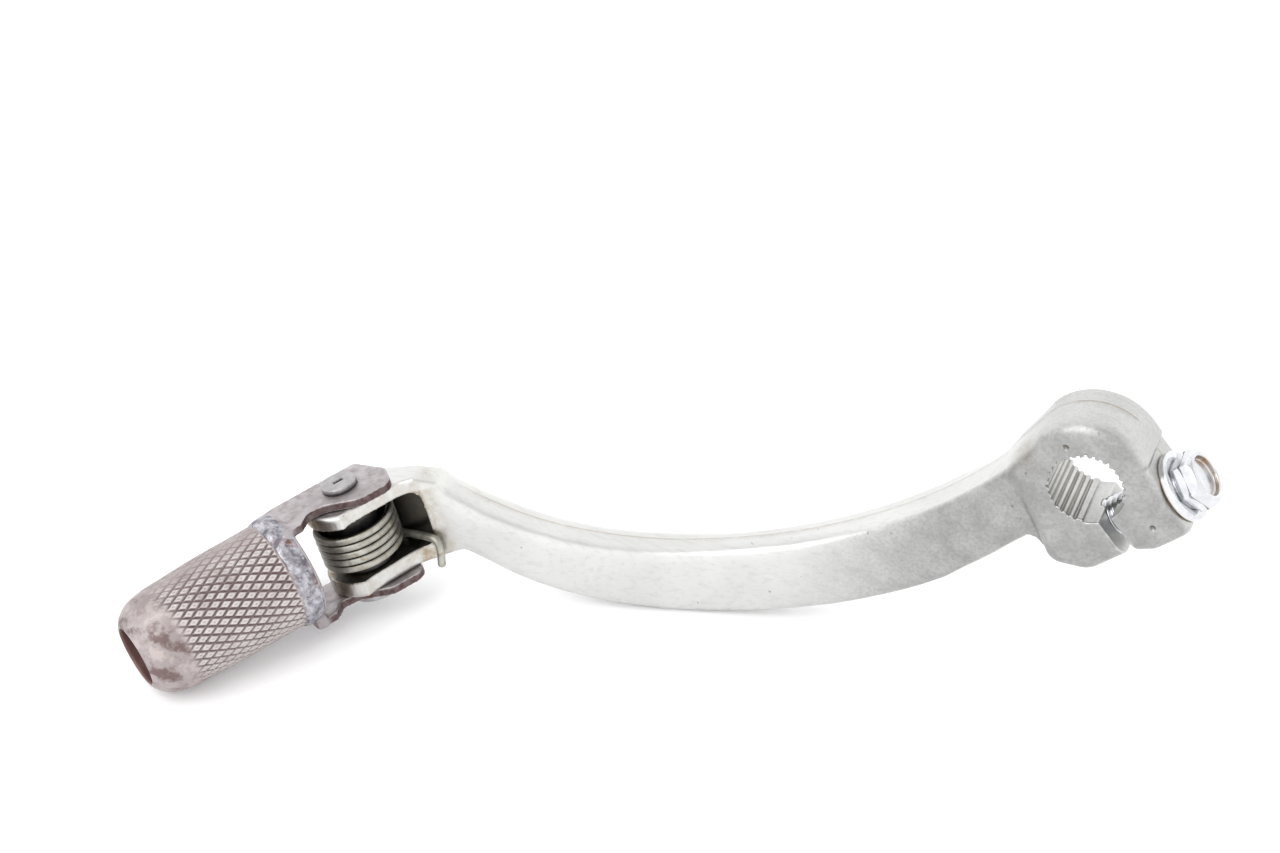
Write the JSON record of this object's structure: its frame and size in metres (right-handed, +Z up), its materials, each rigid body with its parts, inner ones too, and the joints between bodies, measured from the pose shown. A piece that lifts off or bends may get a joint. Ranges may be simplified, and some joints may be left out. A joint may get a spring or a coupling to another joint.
{
  "type": "gear shift lever",
  "caption": "Forged motorcycle gear shift lever with a splined pinch clamp and a sprung toe peg that folds back.",
  "frame": {"origin": "On the axis of the splined bore, at half the clamp's width.", "axes": "+Y runs along the bore towards the engine, -X towards the toe peg, +Z up, so the toe peg points outboard, towards -Y."},
  "size_m": [0.1629, 0.0769, 0.0518],
  "materials": {
    "forged_aluminium": "satin, brushed and worn",
    "zinc_steel": "bright zinc plate",
    "bracket_steel": "oxidised",
    "peg_steel": "knurled, browned",
    "weld_steel": "as welded",
    "pin_steel": "worn",
    "spring_steel": "dull"
  },
  "bodies": {
    "arm": {"lever_arm": "forged_aluminium", "pinch_bolt": "zinc_steel", "captive_washer": "zinc_steel", "spring_bush": "pin_steel", "return_spring": "spring_steel"},
    "toe_tip": {"peg_bracket": "bracket_steel", "toe_peg": "peg_steel", "peg_weld": "weld_steel", "pivot_pin": "pin_steel", "rivet_washer": "pin_steel"}
  },
  "joints": [
    {"name": "peg_fold", "type": "hinge", "parent": "arm", "child": "toe_tip", "pos_m": [-0.1173, -0.031, -0.0257], "axis": [-0.2599, -0.04, 0.9648], "range_deg": [0, 90], "stiffness_Nm_per_rad": 0.3, "springref_deg": -45.84, "deforming": ["return_spring"]}
  ]
}
